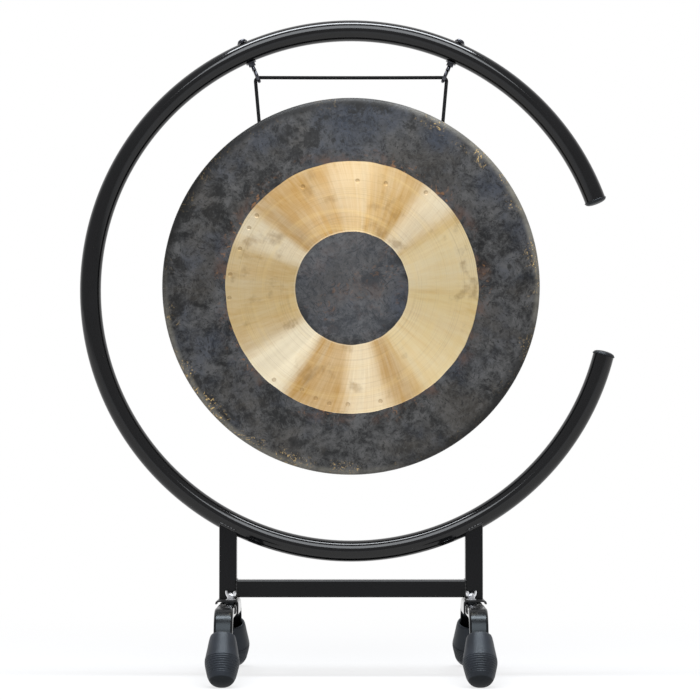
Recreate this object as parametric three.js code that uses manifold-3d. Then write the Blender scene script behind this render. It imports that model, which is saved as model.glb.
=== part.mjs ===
// Gong on a round, C-shaped tube stand with four folding legs.
// Millimetres, +Z up. The front faces -Y and +X is to the right.
import * as THREE from 'three';
import Module from 'manifold-3d';
import { mergeVertices } from 'three/addons/utils/BufferGeometryUtils.js';

const wasm = await Module();
wasm.setup();

// Driving dimensions. Heights are taken from the foot of the two uprights.

// Gong: the ring is bent to go round it
const gongRadius = 278.4;
const gongAboveRingCentre = 5.3;
const gongSheet = 2.4;
const gongDepth = 45;
const gongFrontOut = 22;
const gongCrown = 3;
const gongCornerRadius = 8;
const gongRimLean = 6;
const gongHoleDiameter = 8;
const gongHoleSpread = 135.9;

// Ring: one bent tube, open on the right
const ringAroundGong = 107.1;
const ringTubeDiameter = 31.2;
const ringTubeWall = 2;
const ringLowestRise = 69.9;
const ringUpperEndAngle = 20.3;
const ringLowerEndAngle = -14.6;

// Caps in the ring's two ends
const capFlangeOverhang = 1.1;
const capFlangeThickness = 2;
const capDomeRise = 4.8;
const capPlugLength = 14;
const capPlugWall = 2;

// Square tube of the uprights and the cross bar
const uprightSpacing = 361.9;
const squareTubeSize = 25.8;
const squareTubeWall = 2;
const squareTubeCorner = 2.4;
const crossBarLift = 2.3;

// Inverted channel bracket under each upright
const bracketWidth = 34;
const bracketLength = 90;
const bracketSheet = 2.5;
const bracketBendRadius = 4.5;
const bracketFlangeDrop = 20;
const bracketLipDrop = 5.9;

// Leg: a pressed channel that turns about an upright bolt
const legWidth = 27;
const legSheet = 2;
const legCornerRadius = 4;
const legWallDepth = 14;
const legWallDepthAtFoot = 7.5;
const legReach = 127;
const legBendRadius = 40;
const legBendAngle = 66.5;
const legFlareRadius = 45;
const legFootAngle = 59;
const legExposedAboveFoot = 7.5;
const legInsideFoot = 26.5;
const legUnderLip = 0.6;
const legFaceAheadOfFootAxis = 4.5;
const legRearReach = 8.9;

// Leg pivot
const pivotOut = 33;
const pivotInset = 5.2;
const pivotBoltDiameter = 6;
const pivotHeadAcrossFlats = 10;
const pivotHeadHeight = 4;
const pivotHeadFaceDiameter = 9.2;
const pivotHeadFaceHeight = 0.9;
const pivotHoleClearance = 0.4;
const pivotWasherDiameter = 14.5;
const pivotWasherThickness = 1.2;
const spacerDiameter = 16;
const boltEndPastNut = 1.5;

// Wing nut
const wingSpan = 24;
const wingNutHeight = 11.5;
const wingThickness = 2.4;
const wingHubDiameter = 10.5;
const wingHubTopDiameter = 8.6;
const wingHubHeight = 7;
const wingTurn = 50;

// Rubber foot
const footLength = 78.2;
const footTipRadius = 22;
const footGreatestRadius = 24.9;
const footLastRibRadius = 20.9;
const footBoreRadius = 14.6;
const footBoreDepth = 30;
const footNotchDepth = 13.5;
const footNotchWidth = 30;
const footNotchCorner = 6.5;
const footRibCount = 7;
const footRibPitch = 3.4;
const footRibDepth = 0.8;
const footFirstRib = 40.5;
const footPatchDepth = 0.6;

// Eye bolts that carry the cord
const hookSpreadAngle = 23.7;
const eyeWire = 5.2;
const eyeInnerDiameter = 11.5;
const eyeCentreBelowTube = 38.4;
const hookNutAcrossFlats = 10;
const hookNutHeight = 4.5;
const hookWasherDiameter = 16;
const hookWasherThickness = 1.2;
const domeNutAcrossFlats = 12.6;
const domeNutHexHeight = 1.2;
const domeNutHeight = 3.8;
const domeNutBoreDepth = 2.4;
const hookHoleClearance = 0.45;

// Cord
const cordDiameter = 5.2;
const cordKnotDiameter = 13;
const cordGapAtEye = 0.3;

// Clearances
const seatGap = 0.3;

// Fineness of round forms
const ringStepsByQuarter = [11, 14, 14, 12];
const ringSides = 16;
const ringBoreSides = 8;
const footSides = 16;
const gongSides = 64;
const smallSides = 10;

// Colours
const finish = (color, roughness, metalness) => (
  new THREE.MeshStandardMaterial({ color, roughness, metalness }));
const glossBlack = () => finish(0x1d1d1f, 0.18, 0.0);
const satinBlack = () => finish(0x212123, 0.4, 0.0);
const chrome = () => finish(0xd8dade, 0.12, 1.0);
const darkSteel = () => finish(0x3a3b3e, 0.3, 1.0);
const rubber = () => finish(0x34363a, 0.6, 0.0);
const nylon = () => finish(0x18181a, 0.5, 0.0);
const bronze = () => finish(0x8a7448, 0.4, 1.0);
const cordBlack = () => finish(0x151517, 0.85, 0.0);

const radians = THREE.MathUtils.degToRad;
const point = (x, y) => new THREE.Vector2(x, y);

// Closed meshes, joined and cut exactly
function solid(geometry) {
  const bare = geometry.clone();
  bare.deleteAttribute('normal');
  bare.deleteAttribute('uv');
  const merged = mergeVertices(bare, 1e-4);
  return new wasm.Manifold(new wasm.Mesh({
    numProp: 3,
    vertProperties: new Float32Array(merged.attributes.position.array),
    triVerts: new Uint32Array(merged.index.array),
  }));
}

function geometryOf(body) {
  const mesh = body.getMesh();
  const geometry = new THREE.BufferGeometry();
  geometry.setAttribute('position', new THREE.BufferAttribute(mesh.vertProperties.slice(), 3));
  geometry.setIndex(new THREE.BufferAttribute(mesh.triVerts.slice(), 1));
  geometry.computeVertexNormals();
  return geometry;
}

function cut(geometry, ...cutters) {
  let body = solid(geometry);
  for (const cutter of cutters) body = body.subtract(solid(cutter));
  return geometryOf(body);
}

function join(geometry, ...others) {
  let body = solid(geometry);
  for (const other of others) body = body.add(solid(other));
  return geometryOf(body);
}

// A closed skin over a row of outlines that have the same number of points
function loft(outlines, capOutline) {
  const count = outlines[0].length;
  const positions = outlines.flat().flatMap((corner) => [corner.x, corner.y, corner.z]);
  const index = [];
  for (let row = 0; row + 1 < outlines.length; row += 1) {
    for (let i = 0; i < count; i += 1) {
      const a = row * count + i;
      const b = row * count + ((i + 1) % count);
      index.push(a, b, b + count, a, b + count, a + count);
    }
  }
  const last = (outlines.length - 1) * count;
  for (const [p, q, r] of THREE.ShapeUtils.triangulateShape(capOutline, [])) {
    index.push(r, q, p);
    index.push(last + p, last + q, last + r);
  }
  const geometry = new THREE.BufferGeometry();
  geometry.setAttribute('position', new THREE.Float32BufferAttribute(positions, 3));
  geometry.setIndex(index);
  return geometry;
}

// The same geometry seen in a mirror across X
function mirrored(geometry) {
  const copy = geometry.clone();
  copy.scale(-1, 1, 1);
  const index = copy.index.array;
  for (let i = 0; i < index.length; i += 3) {
    [index[i], index[i + 1]] = [index[i + 1], index[i]];
  }
  copy.computeVertexNormals();
  return copy;
}

// Turned and prismatic pieces along Z
function rod(radius, from, to, sides = smallSides) {
  return new THREE.CylinderGeometry(radius, radius, to - from, sides)
    .rotateX(Math.PI / 2).translate(0, 0, (from + to) / 2);
}

const hexagon = (acrossFlats, from, to) => rod(acrossFlats / Math.sqrt(3), from, to, 6);

function washer(diameter, bore, thickness, sides = smallSides) {
  const holeRadius = bore / 2 / Math.cos(Math.PI / sides);
  const profile = [
    point(holeRadius, 0),
    point(diameter / 2, 0),
    point(diameter / 2, thickness),
    point(holeRadius, thickness),
    point(holeRadius, 0),
  ];
  return new THREE.LatheGeometry(profile, sides).rotateX(Math.PI / 2);
}

function place(parent, name, geometry, material) {
  const mesh = new THREE.Mesh(geometry, material);
  mesh.name = name;
  parent.add(mesh);
  return mesh;
}

const stand = new THREE.Group();

// Ring: its stations fall on the top, the left and the bottom
const ringRadius = gongRadius + ringAroundGong;
const ringRise = ringLowestRise + ringRadius;
const ringQuarters = [ringUpperEndAngle, 90, 180, 270, 360 + ringLowerEndAngle];
const ringSteps = ringStepsByQuarter.reduce((sum, steps) => sum + steps, 0);

class RingCurve extends THREE.Curve {
  getPoint(t, target = new THREE.Vector3()) {
    let rest = t * ringSteps;
    let quarter = 0;
    while (quarter < 3 && rest > ringStepsByQuarter[quarter]) {
      rest -= ringStepsByQuarter[quarter];
      quarter += 1;
    }
    const share = rest / ringStepsByQuarter[quarter];
    const angle = radians(THREE.MathUtils.lerp(ringQuarters[quarter], ringQuarters[quarter + 1], share));
    return target.set(ringRadius * Math.cos(angle), 0, ringRadius * Math.sin(angle));
  }

  getUtoTmapping(u) {
    return u;
  }
}

function circle(radius, sides) {
  const shape = new THREE.Shape();
  shape.moveTo(radius, 0);
  for (let i = 1; i < sides; i += 1) {
    const angle = (2 * Math.PI * i) / sides;
    shape.lineTo(radius * Math.cos(angle), radius * Math.sin(angle));
  }
  shape.closePath();
  return shape;
}

const ringTubeRadius = ringTubeDiameter / 2;
const ringBoreRadius = ringTubeRadius - ringTubeWall;
const alongRing = { extrudePath: new RingCurve(), steps: ringSteps, bevelEnabled: false };

function ringSweep(outerRadius, boreRadius) {
  const shape = circle(outerRadius, ringSides);
  if (boreRadius) shape.holes.push(circle(boreRadius / Math.cos(Math.PI / ringBoreSides), ringBoreSides));
  return new THREE.ExtrudeGeometry(shape, alongRing);
}

const hookAngles = { left: 90 + hookSpreadAngle, right: 90 - hookSpreadAngle };
const hookHoleRadius = eyeWire / 2 + hookHoleClearance;
const hookHoles = Object.values(hookAngles).map((angle) => (
  rod(hookHoleRadius, ringRadius - ringTubeDiameter, ringRadius + ringTubeDiameter)
    .rotateY(radians(90 - angle))));

place(stand, 'ring_tube', cut(ringSweep(ringTubeRadius, ringBoreRadius), ...hookHoles), glossBlack())
  .position.z = ringRise;

// End cap: flange, low dome and a hollow plug inside the tube
function endCap() {
  const flangeRadius = ringTubeRadius + capFlangeOverhang;
  const plugRadius = ringBoreRadius - 2 * seatGap;
  const domeStart = seatGap + capFlangeThickness;
  const profile = [
    point(0, seatGap),
    point(plugRadius - capPlugWall, seatGap),
    point(plugRadius - capPlugWall, -capPlugLength),
    point(plugRadius - 0.6, -capPlugLength),
    point(plugRadius, -1),
    point(plugRadius, seatGap),
    point(flangeRadius, seatGap),
    point(flangeRadius, domeStart),
    point(flangeRadius * 0.9, domeStart + capDomeRise * 0.45),
    point(flangeRadius * 0.6, domeStart + capDomeRise * 0.85),
    point(0, domeStart + capDomeRise),
  ];
  return new THREE.LatheGeometry(profile, ringSides);
}

for (const [name, angle, turn] of [
  ['upper_end_cap', ringUpperEndAngle, 180],
  ['lower_end_cap', ringLowerEndAngle, 0],
]) {
  const cap = place(stand, name, endCap(), nylon());
  const [across, up] = [Math.cos(radians(angle)), Math.sin(radians(angle))];
  cap.position.set(ringRadius * across, 0, ringRise + ringRadius * up);
  cap.rotation.set(Math.PI / 2, -radians(angle + turn), 0, 'YXZ');
}

// Uprights and cross bar
function roundedSquare(size, corner) {
  const inner = size / 2 - corner;
  const shape = new THREE.Shape();
  shape.moveTo(size / 2, -inner);
  for (let side = 0; side < 4; side += 1) {
    const turn = (side * Math.PI) / 2;
    const x = inner * (Math.cos(turn) - Math.sin(turn));
    const y = inner * (Math.sin(turn) + Math.cos(turn));
    for (let step = 0; step <= 2; step += 1) {
      const angle = turn + (step * Math.PI) / 4;
      shape.lineTo(x + corner * Math.cos(angle), y + corner * Math.sin(angle));
    }
  }
  shape.closePath();
  return shape;
}

function squareTube(length) {
  const shape = roundedSquare(squareTubeSize, squareTubeCorner);
  shape.holes.push(roundedSquare(squareTubeSize - 2 * squareTubeWall, squareTubeCorner - squareTubeWall));
  return new THREE.ExtrudeGeometry(shape, { depth: length, bevelEnabled: false });
}

const uprightOut = uprightSpacing / 2;
const saddle = ringSweep(ringTubeRadius + seatGap);
const uprightRoughLength = ringRise - Math.sqrt(ringRadius ** 2 - (uprightOut + squareTubeSize) ** 2);
const aboveSaddle = new THREE.BoxGeometry(3 * squareTubeSize, 3 * squareTubeSize, 3 * squareTubeSize);

for (const [name, side] of [['left_upright', -1], ['right_upright', 1]]) {
  const tube = squareTube(uprightRoughLength).translate(side * uprightOut, 0, -ringRise);
  const body = solid(tube).subtract(solid(saddle));
  const lowest = body.decompose().reduce((low, piece) => (
    piece.boundingBox().min[2] < low.boundingBox().min[2] ? piece : low));
  place(stand, name, geometryOf(lowest), satinBlack()).position.z = ringRise;
}

const crossBarLength = uprightSpacing - squareTubeSize - 2 * seatGap;
const crossBar = place(stand, 'cross_bar', squareTube(crossBarLength), satinBlack());
crossBar.position.set(-crossBarLength / 2, 0, crossBarLift + squareTubeSize / 2);
crossBar.rotation.y = Math.PI / 2;

// Brackets: outer side towards +X, length along Y
const bracketTop = -seatGap;
const bracketUnderside = bracketTop - bracketSheet;

function bracket() {
  const half = bracketWidth / 2;
  const outer = half - bracketBendRadius;
  const innerBend = bracketBendRadius - bracketSheet;
  const centre = bracketTop - bracketBendRadius;
  const shape = new THREE.Shape();
  shape.moveTo(-half, -bracketFlangeDrop);
  for (let step = 0; step <= 3; step += 1) {
    const angle = Math.PI - (step * Math.PI) / 6;
    shape.lineTo(-outer + bracketBendRadius * Math.cos(angle), centre + bracketBendRadius * Math.sin(angle));
  }
  for (let step = 0; step <= 3; step += 1) {
    const angle = Math.PI / 2 - (step * Math.PI) / 6;
    shape.lineTo(outer + bracketBendRadius * Math.cos(angle), centre + bracketBendRadius * Math.sin(angle));
  }
  shape.lineTo(half, -bracketLipDrop);
  shape.lineTo(half - bracketSheet, -bracketLipDrop);
  for (let step = 0; step <= 2; step += 1) {
    const angle = (step * Math.PI) / 4;
    shape.lineTo(outer + innerBend * Math.cos(angle), centre + innerBend * Math.sin(angle));
  }
  for (let step = 0; step <= 2; step += 1) {
    const angle = Math.PI / 2 + (step * Math.PI) / 4;
    shape.lineTo(-outer + innerBend * Math.cos(angle), centre + innerBend * Math.sin(angle));
  }
  shape.lineTo(-half + bracketSheet, -bracketFlangeDrop);
  shape.closePath();
  const sheet = new THREE.ExtrudeGeometry(shape, { depth: bracketLength, bevelEnabled: false })
    .rotateX(Math.PI / 2).translate(0, bracketLength / 2, 0);
  const boltHoles = [-pivotOut, pivotOut].map((y) => (
    rod(pivotBoltDiameter / 2 + pivotHoleClearance, -bracketFlangeDrop, squareTubeSize)
      .translate(-pivotInset, y, 0)));
  return cut(sheet, ...boltHoles);
}

place(stand, 'right_bracket', bracket(), glossBlack()).position.x = uprightOut;
place(stand, 'left_bracket', mirrored(bracket()), glossBlack()).position.x = -uprightOut;

// Leg: stations along its top face, each with its slope below the horizontal
const legTop = -bracketLipDrop - legUnderLip;

function legStations() {
  const stations = [];
  const start = { out: pivotOut - legRearReach, up: legTop, slope: 0 };
  stations.push(start);
  let here = { out: legReach, up: legTop, slope: 0 };
  stations.push(here);
  const bend = (radius, toSlope, steps) => {
    const from = here;
    const sign = Math.sign(toSlope - from.slope);
    for (let step = 1; step <= steps; step += 1) {
      const slope = from.slope + ((toSlope - from.slope) * step) / steps;
      const [a, b] = [radians(from.slope), radians(slope)];
      here = {
        out: from.out + sign * radius * (Math.sin(b) - Math.sin(a)),
        up: from.up - sign * radius * (Math.cos(a) - Math.cos(b)),
        slope,
      };
      stations.push(here);
    }
  };
  const straight = (length) => {
    const angle = radians(here.slope);
    here = {
      out: here.out + length * Math.cos(angle),
      up: here.up - length * Math.sin(angle),
      slope: here.slope,
    };
    stations.push(here);
  };
  bend(legBendRadius, legBendAngle, 5);
  bend(legFlareRadius, legFootAngle, 2);
  straight(legExposedAboveFoot);
  const mouth = here;
  const noseLength = (legWidth / 2) * Math.sin(Math.PI / 3);
  straight(legInsideFoot - noseLength);
  const noseStart = here;
  for (let step = 1; step <= 3; step += 1) {
    const angle = (step * Math.PI) / 9;
    here = noseStart;
    straight((legWidth / 2) * Math.sin(angle));
    here.halfWidth = (legWidth / 2) * Math.cos(angle);
  }
  return { stations, mouth };
}

const { stations: legLine, mouth: legAtMouth } = legStations();

function channelSection(halfWidth, depth) {
  const corner = halfWidth - legCornerRadius;
  const innerBend = legCornerRadius - legSheet;
  const outline = [point(-halfWidth, -depth)];
  const arc = (x, radius, angles) => {
    for (const angle of angles) {
      const turn = radians(angle);
      outline.push(point(x + radius * Math.cos(turn), -legCornerRadius + radius * Math.sin(turn)));
    }
  };
  arc(-corner, legCornerRadius, [180, 135, 90]);
  arc(corner, legCornerRadius, [90, 45, 0]);
  outline.push(point(halfWidth, -depth));
  outline.push(point(halfWidth - legSheet, -depth));
  arc(corner, innerBend, [0, 45, 90]);
  arc(-corner, innerBend, [90, 135, 180]);
  outline.push(point(-halfWidth + legSheet, -depth));
  return outline.reverse();
}

// The leg about its pivot: forward is -Y and the outer side is +X
function leg() {
  let travelled = 0;
  const bendStart = legReach;
  const mouthIndex = legLine.indexOf(legAtMouth);
  const lengths = legLine.map((station, i) => {
    if (i > 0) {
      const before = legLine[i - 1];
      travelled += Math.hypot(station.out - before.out, station.up - before.up);
    }
    return travelled;
  });
  const [taperFrom, taperTo] = [bendStart - legLine[0].out, lengths[mouthIndex]];
  const outlines = legLine.map((station, i) => {
    const share = THREE.MathUtils.clamp((lengths[i] - taperFrom) / (taperTo - taperFrom), 0, 1);
    const depth = THREE.MathUtils.lerp(legWallDepth, legWallDepthAtFoot, share);
    const slope = radians(station.slope);
    return channelSection(station.halfWidth ?? legWidth / 2, depth).map((corner) => new THREE.Vector3(
      pivotInset + corner.x,
      pivotOut - station.out - corner.y * Math.sin(slope),
      station.up + corner.y * Math.cos(slope),
    ));
  });
  const body = loft(outlines, channelSection(legWidth / 2, legWallDepth));
  const boltHole = rod(pivotBoltDiameter / 2 + pivotHoleClearance, -squareTubeSize, squareTubeSize);
  const rear = new THREE.BoxGeometry(legWidth, legWidth, 2 * squareTubeSize)
    .translate(-legWidth / 2, legWidth / 2, 0);
  const rounding = cut(rear, rod(legRearReach, -2 * squareTubeSize, 2 * squareTubeSize, 24));
  return cut(body, boltHole, rounding);
}

// Rubber foot about its mouth: a bore for the leg, a notch towards the stand and ribs
function foot() {
  const profile = [
    point(0, footBoreDepth),
    point(footBoreRadius, footBoreDepth),
    point(footBoreRadius, 0),
    point(16, 0),
    point(17.6, 1),
    point(18.6, 3.8),
    point(21.4, 20),
    point(23.3, 31),
  ];
  const ribs = footRibPitch * (footRibCount - 1);
  for (let rib = 0; rib < footRibCount; rib += 1) {
    const along = footFirstRib + rib * footRibPitch;
    const share = Math.max(0, (along - footFirstRib - footRibPitch / 2) / (ribs - footRibPitch / 2));
    const radius = THREE.MathUtils.lerp(footGreatestRadius, footLastRibRadius, share ** 1.25);
    profile.push(point(radius - footRibDepth, along - footRibPitch / 2));
    profile.push(point(radius, along));
  }
  const tipCentre = footLength - footTipRadius;
  for (const angle of [22, 40, 57, 74]) {
    profile.push(point(
      footTipRadius * Math.cos(radians(angle)),
      tipCentre + footTipRadius * Math.sin(radians(angle)),
    ));
  }
  profile.push(point(0, footLength));
  const turned = new THREE.LatheGeometry(profile, footSides);
  const notch = new THREE.Shape();
  notch.moveTo(-footNotchWidth / 2, -1);
  notch.lineTo(footNotchWidth / 2, -1);
  for (const [side, angles] of [[1, [0, 22.5, 45, 67.5, 90]], [-1, [90, 112.5, 135, 157.5, 180]]]) {
    for (const angle of angles) {
      notch.lineTo(
        side * (footNotchWidth / 2 - footNotchCorner) + footNotchCorner * Math.cos(radians(angle)),
        footNotchDepth - footNotchCorner + footNotchCorner * Math.sin(radians(angle)),
      );
    }
  }
  notch.closePath();
  const slot = new THREE.ExtrudeGeometry(notch, { depth: 2 * footGreatestRadius, bevelEnabled: false });
  const tilted = cut(turned, slot).rotateX(Math.PI + radians(legFootAngle));
  tilted.computeBoundingBox();
  const sole = tilted.boundingBox.min.z;
  const floor = new THREE.BoxGeometry(4 * footLength, 4 * footLength, 2 * footPatchDepth)
    .translate(0, 0, sole);
  return cut(tilted, floor);
}

// Where the foot's mouth sits, from the leg's pivot
const footSlope = radians(legFootAngle);
const footSeat = new THREE.Vector3(
  pivotInset,
  pivotOut - legAtMouth.out + legFaceAheadOfFootAxis * Math.sin(footSlope),
  legAtMouth.up - legFaceAheadOfFootAxis * Math.cos(footSlope),
);

// Bolt, spacer, washer and wing nut, all on the pivot's axis
const pivotHeadTop = legTop - legSheet - seatGap;
const washerSeat = bracketTop + seatGap;
const nutSeat = washerSeat + pivotWasherThickness + seatGap;

function pivotBolt() {
  const end = nutSeat + wingHubHeight + boltEndPastNut;
  const hexTop = pivotHeadTop - pivotHeadFaceHeight;
  return join(
    hexagon(pivotHeadAcrossFlats, pivotHeadTop - pivotHeadHeight, hexTop),
    rod(pivotHeadFaceDiameter / 2, hexTop - pivotHeadFaceHeight, pivotHeadTop),
    rod(pivotBoltDiameter / 2, pivotHeadTop - pivotHeadHeight / 2, end),
  );
}

function wingNut() {
  const ear = new THREE.Shape();
  ear.moveTo(wingHubTopDiameter / 2 - 0.6, 0.8);
  ear.lineTo(wingSpan / 2 - 3.5, 3);
  ear.lineTo(wingSpan / 2 - 0.4, 7);
  ear.lineTo(wingSpan / 2, wingNutHeight - 2);
  ear.lineTo(wingSpan / 2 - 1.2, wingNutHeight - 0.3);
  ear.lineTo(wingSpan / 2 - 3.2, wingNutHeight);
  ear.lineTo(wingSpan / 2 - 5.2, wingNutHeight - 1.6);
  ear.lineTo(wingHubTopDiameter / 2 - 0.6, wingHubHeight - 1.2);
  ear.closePath();
  const wing = new THREE.ExtrudeGeometry(ear, { depth: wingThickness, bevelEnabled: false })
    .rotateX(Math.PI / 2).translate(0, wingThickness / 2, 0);
  const hub = new THREE.CylinderGeometry(
    wingHubTopDiameter / 2, wingHubDiameter / 2, wingHubHeight, smallSides,
  ).rotateX(Math.PI / 2).translate(0, 0, wingHubHeight / 2);
  const threadRadius = (pivotBoltDiameter / 2 + seatGap) / Math.cos(Math.PI / smallSides);
  const thread = rod(threadRadius, -1, wingNutHeight + 1);
  return cut(join(hub, wing, wing.clone().rotateZ(Math.PI)), thread);
}

const pivotGap = bracketUnderside - legTop;
const boltBore = pivotBoltDiameter + 2 * pivotHoleClearance;

const corners = [
  ['front_left', -1, -1],
  ['front_right', 1, -1],
  ['rear_left', -1, 1],
  ['rear_right', 1, 1],
];

for (const [name, side, end] of corners) {
  const corner = new THREE.Group();
  corner.position.set(side * (uprightOut - pivotInset), end * pivotOut, 0);
  corner.rotation.z = end > 0 ? Math.PI : 0;
  stand.add(corner);
  const isMirrored = side * end > 0;
  place(corner, `${name}_leg`, isMirrored ? mirrored(leg()) : leg(), glossBlack());
  const boot = place(corner, `${name}_foot`, foot(), rubber());
  boot.position.copy(footSeat);
  if (isMirrored) boot.position.x *= -1;
  place(corner, `${name}_pivot_bolt`, pivotBolt(), chrome());
  place(corner, `${name}_pivot_spacer`, washer(spacerDiameter, boltBore, pivotGap - 2 * seatGap), nylon())
    .position.z = legTop + seatGap;
  place(corner, `${name}_pivot_washer`, washer(pivotWasherDiameter, boltBore, pivotWasherThickness), chrome())
    .position.z = washerSeat;
  const nut = place(corner, `${name}_wing_nut`, wingNut(), chrome());
  nut.position.z = nutSeat;
  nut.rotation.z = radians(-side * end * wingTurn);
}

// Eye bolts: +Z points out of the ring, zero at the tube's centre line
const eyeRadius = (eyeInnerDiameter + eyeWire) / 2;
const outerWasherSeat = ringTubeRadius + seatGap;
const domeNutSeat = outerWasherSeat + hookWasherThickness + seatGap;
const ringStepAngles = ringStepsByQuarter.map((steps, i) => (ringQuarters[i + 1] - ringQuarters[i]) / steps);
const widestStep = Math.max(...ringStepAngles);
const chordSag = ringRadius * (1 - Math.cos(radians(widestStep / 2)));
const innerWasherSeat = -ringTubeRadius - chordSag - seatGap - hookWasherThickness;
const innerNutSeat = innerWasherSeat - seatGap - hookNutHeight;

function eyeBolt() {
  const shankStart = -eyeCentreBelowTube + eyeRadius;
  const shankEnd = domeNutSeat + domeNutBoreDepth - 2 * seatGap;
  const eye = new THREE.TorusGeometry(eyeRadius, eyeWire / 2, 8, 20)
    .rotateY(Math.PI / 2).translate(0, 0, -eyeCentreBelowTube);
  return join(eye, rod(eyeWire / 2, shankStart, shankEnd));
}

const hookThreadRadius = (eyeWire / 2 + seatGap) / Math.cos(Math.PI / smallSides);

function domeNut() {
  const dome = new THREE.LatheGeometry([
    point(0, 0.5),
    point(domeNutAcrossFlats / 2 - 0.4, 0.5),
    point(domeNutAcrossFlats / 2 - 0.4, domeNutHexHeight),
    point(domeNutAcrossFlats / 2 - 1.6, domeNutHeight - 1),
    point(domeNutAcrossFlats / 2 - 3.6, domeNutHeight - 0.2),
    point(0, domeNutHeight),
  ], smallSides).rotateX(Math.PI / 2);
  const skirt = hexagon(domeNutAcrossFlats, 0, domeNutHexHeight);
  return cut(join(skirt, dome), rod(hookThreadRadius, -1, domeNutBoreDepth));
}

function hexNut() {
  return cut(hexagon(hookNutAcrossFlats, 0, hookNutHeight), rod(hookThreadRadius, -1, hookNutHeight + 1));
}

const hookWasher = () => washer(hookWasherDiameter, eyeWire + 2 * hookHoleClearance, hookWasherThickness);

for (const [side, angle] of Object.entries(hookAngles)) {
  const hook = new THREE.Group();
  const [across, up] = [Math.cos(radians(angle)), Math.sin(radians(angle))];
  hook.position.set(ringRadius * across, 0, ringRise + ringRadius * up);
  hook.rotation.y = radians(90 - angle);
  stand.add(hook);
  place(hook, `${side}_eye_bolt`, eyeBolt(), darkSteel());
  place(hook, `${side}_inner_nut`, hexNut(), darkSteel()).position.z = innerNutSeat;
  place(hook, `${side}_inner_washer`, hookWasher(), darkSteel()).position.z = innerWasherSeat;
  place(hook, `${side}_outer_washer`, hookWasher(), darkSteel()).position.z = outerWasherSeat;
  place(hook, `${side}_dome_nut`, domeNut(), darkSteel()).position.z = domeNutSeat;
}

// Gong: turned about Y, its face towards -Y and its rim turned back
const gongCentreRise = ringRise + gongAboveRingCentre;
const gongFace = (radius) => -gongFrontOut - gongCrown * (1 - (radius / gongRadius) ** 2);
const rimLean = radians(gongRimLean);
const gongBack = gongDepth - gongFrontOut;
const rimRadiusAt = (y) => gongRadius - (y + gongFrontOut) * Math.tan(rimLean);
const rimHoleAngle = Math.asin(gongHoleSpread / rimRadiusAt(0));

function gong() {
  const faceRadii = [0.43 * gongRadius, 0.77 * gongRadius];
  const profile = [point(0, gongFace(0))];
  for (const radius of faceRadii) profile.push(point(radius, gongFace(radius)));
  const cornerCentre = point(gongRadius - gongCornerRadius, -gongFrontOut + gongCornerRadius);
  const cornerArc = (radius) => [-80, -45, -10].map((angle) => point(
    cornerCentre.x + radius * Math.cos(radians(angle)),
    cornerCentre.y + radius * Math.sin(radians(angle)),
  ));
  profile.push(...cornerArc(gongCornerRadius));
  profile.push(point(rimRadiusAt(gongBack), gongBack));
  profile.push(point(rimRadiusAt(gongBack) - gongSheet, gongBack));
  profile.push(...cornerArc(gongCornerRadius - gongSheet).reverse());
  for (const radius of faceRadii.reverse()) profile.push(point(radius, gongFace(radius) + gongSheet));
  profile.push(point(0, gongFace(0) + gongSheet));
  const shell = new THREE.LatheGeometry(profile, gongSides);
  const [holeFrom, holeTo] = [gongRadius - 3 * gongDepth, gongRadius + gongDepth];
  const holes = [-1, 1].map((side) => (
    rod(gongHoleDiameter / 2, holeFrom, holeTo).rotateY(side * rimHoleAngle)));
  return cut(shell, ...holes);
}

place(stand, 'gong', gong(), bronze()).position.z = gongCentreRise;

// Cord: knotted inside the rim, up through one eye, across, and down through the other
const eyeAngle = radians(hookSpreadAngle);
const wireRadius = ringRadius - eyeCentreBelowTube - eyeRadius;
const wire = point(wireRadius * Math.sin(eyeAngle), ringRise + wireRadius * Math.cos(eyeAngle));
const wrapRadius = eyeWire / 2 + cordDiameter / 2 + cordGapAtEye;
const rimHole = point(gongHoleSpread, gongCentreRise + rimRadiusAt(0) * Math.cos(rimHoleAngle));
const toHole = rimHole.clone().sub(wire);
const strandLength = Math.sqrt(toHole.lengthSq() - wrapRadius ** 2);
const strandAngle = Math.atan2(toHole.y, toHole.x) - Math.atan2(wrapRadius, strandLength);
const strandDirection = point(Math.cos(strandAngle), Math.sin(strandAngle));
const strandStart = point(
  wire.x - wrapRadius * Math.sin(strandAngle),
  wire.y + wrapRadius * Math.cos(strandAngle),
);
const rimToKnot = gongSheet + cordKnotDiameter / 2 + seatGap;
const knotCentre = rimHole.clone().addScaledVector(
  strandDirection,
  rimToKnot / Math.cos(strandAngle + Math.PI / 2 + rimHoleAngle),
);

class CordRoute extends THREE.Curve {
  constructor() {
    super();
    const wrapEnd = strandAngle + Math.PI / 2;
    const wrap = (share) => {
      const angle = Math.PI / 2 + (wrapEnd - Math.PI / 2) * share;
      return point(wire.x + wrapRadius * Math.cos(angle), wire.y + wrapRadius * Math.sin(angle));
    };
    const half = [
      { steps: 6, at: (share) => point(wire.x * share, wire.y + wrapRadius) },
      { steps: 5, at: wrap },
      { steps: 5, at: (share) => strandStart.clone().lerp(knotCentre, share) },
    ];
    const flip = ({ steps, at }) => ({ steps, at: (share) => at(1 - share).setX(-at(1 - share).x) });
    this.pieces = [...half.map(flip).reverse(), ...half];
    this.steps = this.pieces.reduce((sum, piece) => sum + piece.steps, 0);
  }

  getPoint(t, target = new THREE.Vector3()) {
    let rest = t * this.steps;
    let index = 0;
    while (index + 1 < this.pieces.length && rest > this.pieces[index].steps) {
      rest -= this.pieces[index].steps;
      index += 1;
    }
    const spot = this.pieces[index].at(rest / this.pieces[index].steps);
    return target.set(spot.x, 0, spot.y);
  }

  getUtoTmapping(u) {
    return u;
  }
}

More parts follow.
